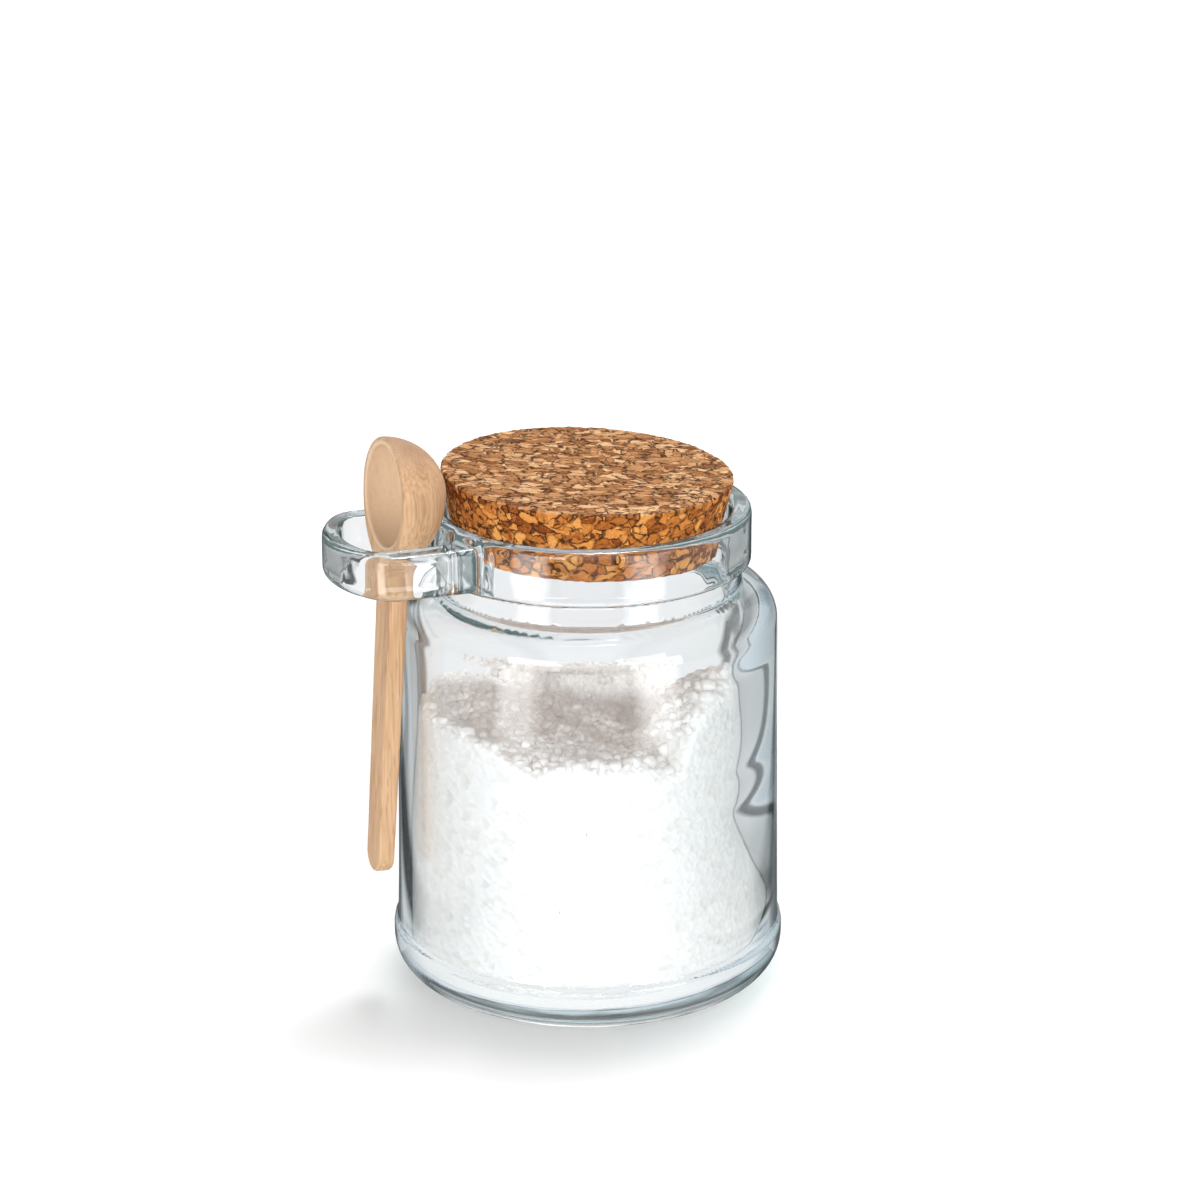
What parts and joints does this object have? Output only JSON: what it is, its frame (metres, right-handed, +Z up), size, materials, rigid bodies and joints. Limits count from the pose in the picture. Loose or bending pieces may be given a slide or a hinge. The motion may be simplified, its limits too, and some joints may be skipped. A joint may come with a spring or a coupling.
{
  "type": "glass jar with cork lid",
  "caption": "Round glass salt jar with a tapered cork stopper and a wooden spoon hanging in a glass loop on its collar, part filled with coarse salt.",
  "frame": {"origin": "on the jar's axis, on the flat base that the jar stands on", "axes": "+Z up along the jar's axis, -Y towards the viewer, -X the side that the spoon loop stands out on (turned 20.5 degrees towards -Y)"},
  "size_m": [0.0901, 0.078, 0.1137],
  "materials": {
    "clear_glass": "clear, smooth and slightly wavy, faint green-grey in the thick places",
    "cork": "matte pressed cork granules with dark specks",
    "pale_wood": "satin bare wood with fine straight grain",
    "salt": "coarse white crystals"
  },
  "bodies": {
    "jar": {"glass_jar": "clear_glass", "salt_fill": "salt"},
    "stopper": {"cork_stopper": "cork"},
    "spoon": {"wooden_spoon": "pale_wood"}
  },
  "joints": [
    {"name": "stopper_lift", "type": "slide", "parent": "jar", "child": "stopper", "axis": [0, 0, 1], "range_m": [0, 0.04]},
    {"name": "spoon_lift", "type": "slide", "parent": "jar", "child": "spoon", "axis": [0.0539, 0.0202, 0.9983], "range_m": [0, 0.08]}
  ]
}
